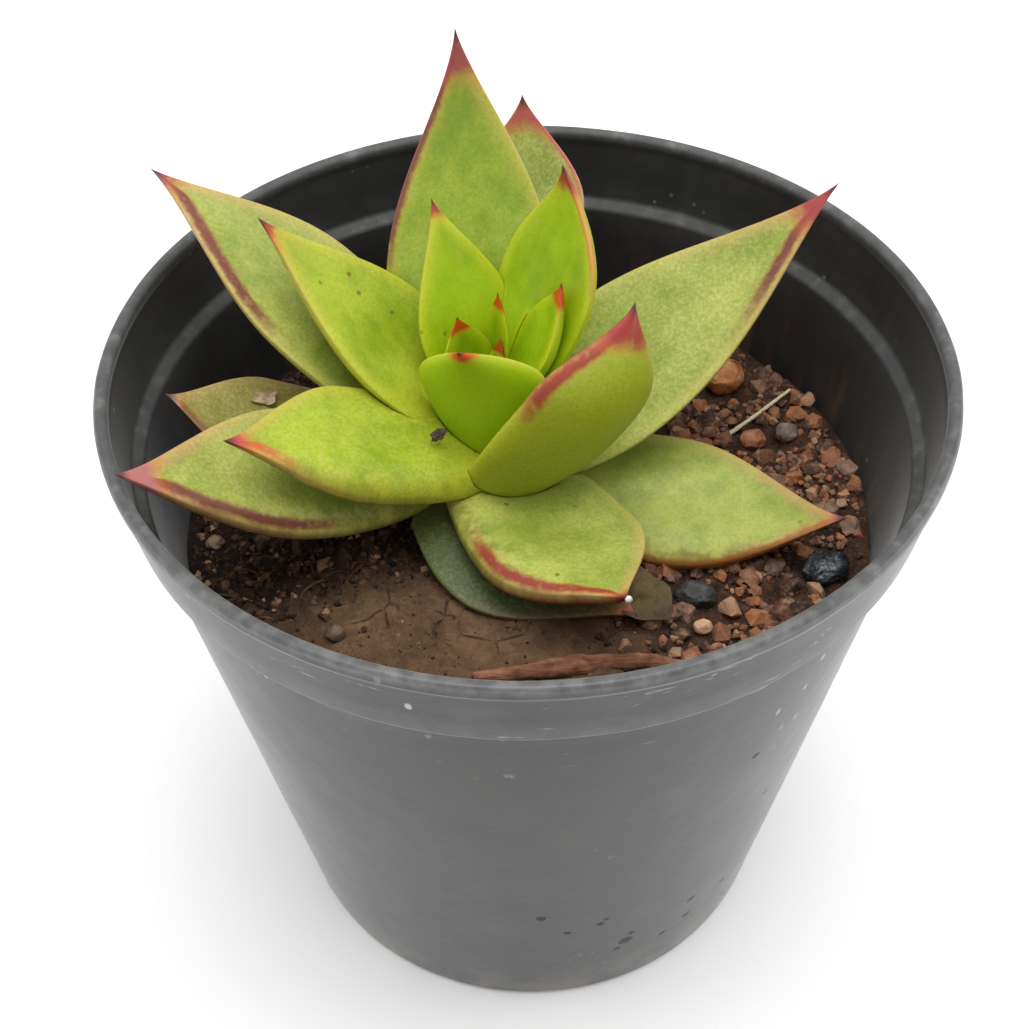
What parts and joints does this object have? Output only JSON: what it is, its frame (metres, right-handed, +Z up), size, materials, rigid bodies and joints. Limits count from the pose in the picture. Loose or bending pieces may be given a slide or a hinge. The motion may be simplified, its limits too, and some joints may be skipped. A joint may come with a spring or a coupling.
{
  "type": "potted succulent",
  "caption": "Red-edged rosette succulent with thick pointed leaves, growing in gritty soil in a round tapered nursery pot.",
  "frame": {"origin": "centre of the pot's flat base", "axes": "+Z up along the pot's axis, -Y towards the front, +X to the right seen from the front"},
  "size_m": [0.12, 0.12, 0.1366],
  "materials": {
    "pot_plastic": "matte, scuffed",
    "soil": "damp, rough",
    "stem": "matte",
    "leaf": "satin, waxy bloom, red margin",
    "leaf_heart": "satin, waxy",
    "leaf_dark": "satin",
    "leaf_dead": "dull, wrinkled",
    "dark_stone": "semi-gloss, wet",
    "brown_stone": "rough",
    "pale_stone": "rough",
    "root": "rough",
    "straw": "matte",
    "scrap": "dull"
  },
  "bodies": {
    "root": {"bud_back": "leaf_heart", "bud_left": "leaf_heart", "bud_middle": "leaf_heart", "bud_right": "leaf_heart", "leaf_back_inner": "leaf", "leaf_back_left": "leaf", "leaf_back_low": "leaf", "leaf_back_right": "leaf", "leaf_back_tall": "leaf", "leaf_front_heart": "leaf_heart", "leaf_front_inner": "leaf", "leaf_front_low": "leaf", "leaf_left_front": "leaf", "leaf_left_heart": "leaf_heart", "leaf_left_inner": "leaf", "leaf_left_low": "leaf", "leaf_left_outer": "leaf", "leaf_left_small": "leaf", "leaf_right_low": "leaf", "leaf_right_outer": "leaf", "leaf_under_front": "leaf_dark", "leaf_withered": "leaf_dead", "pot": "pot_plastic", "root_stick": "root", "scrap": "scrap", "soil": "soil", "stem": "stem", "stone_black": "dark_stone", "stone_brown": "brown_stone", "stone_dark": "dark_stone", "stone_grey": "brown_stone", "stone_orange": "brown_stone", "stone_pale": "pale_stone", "stone_round": "dark_stone", "stone_tan": "pale_stone", "straw": "straw"}
  },
  "joints": []
}
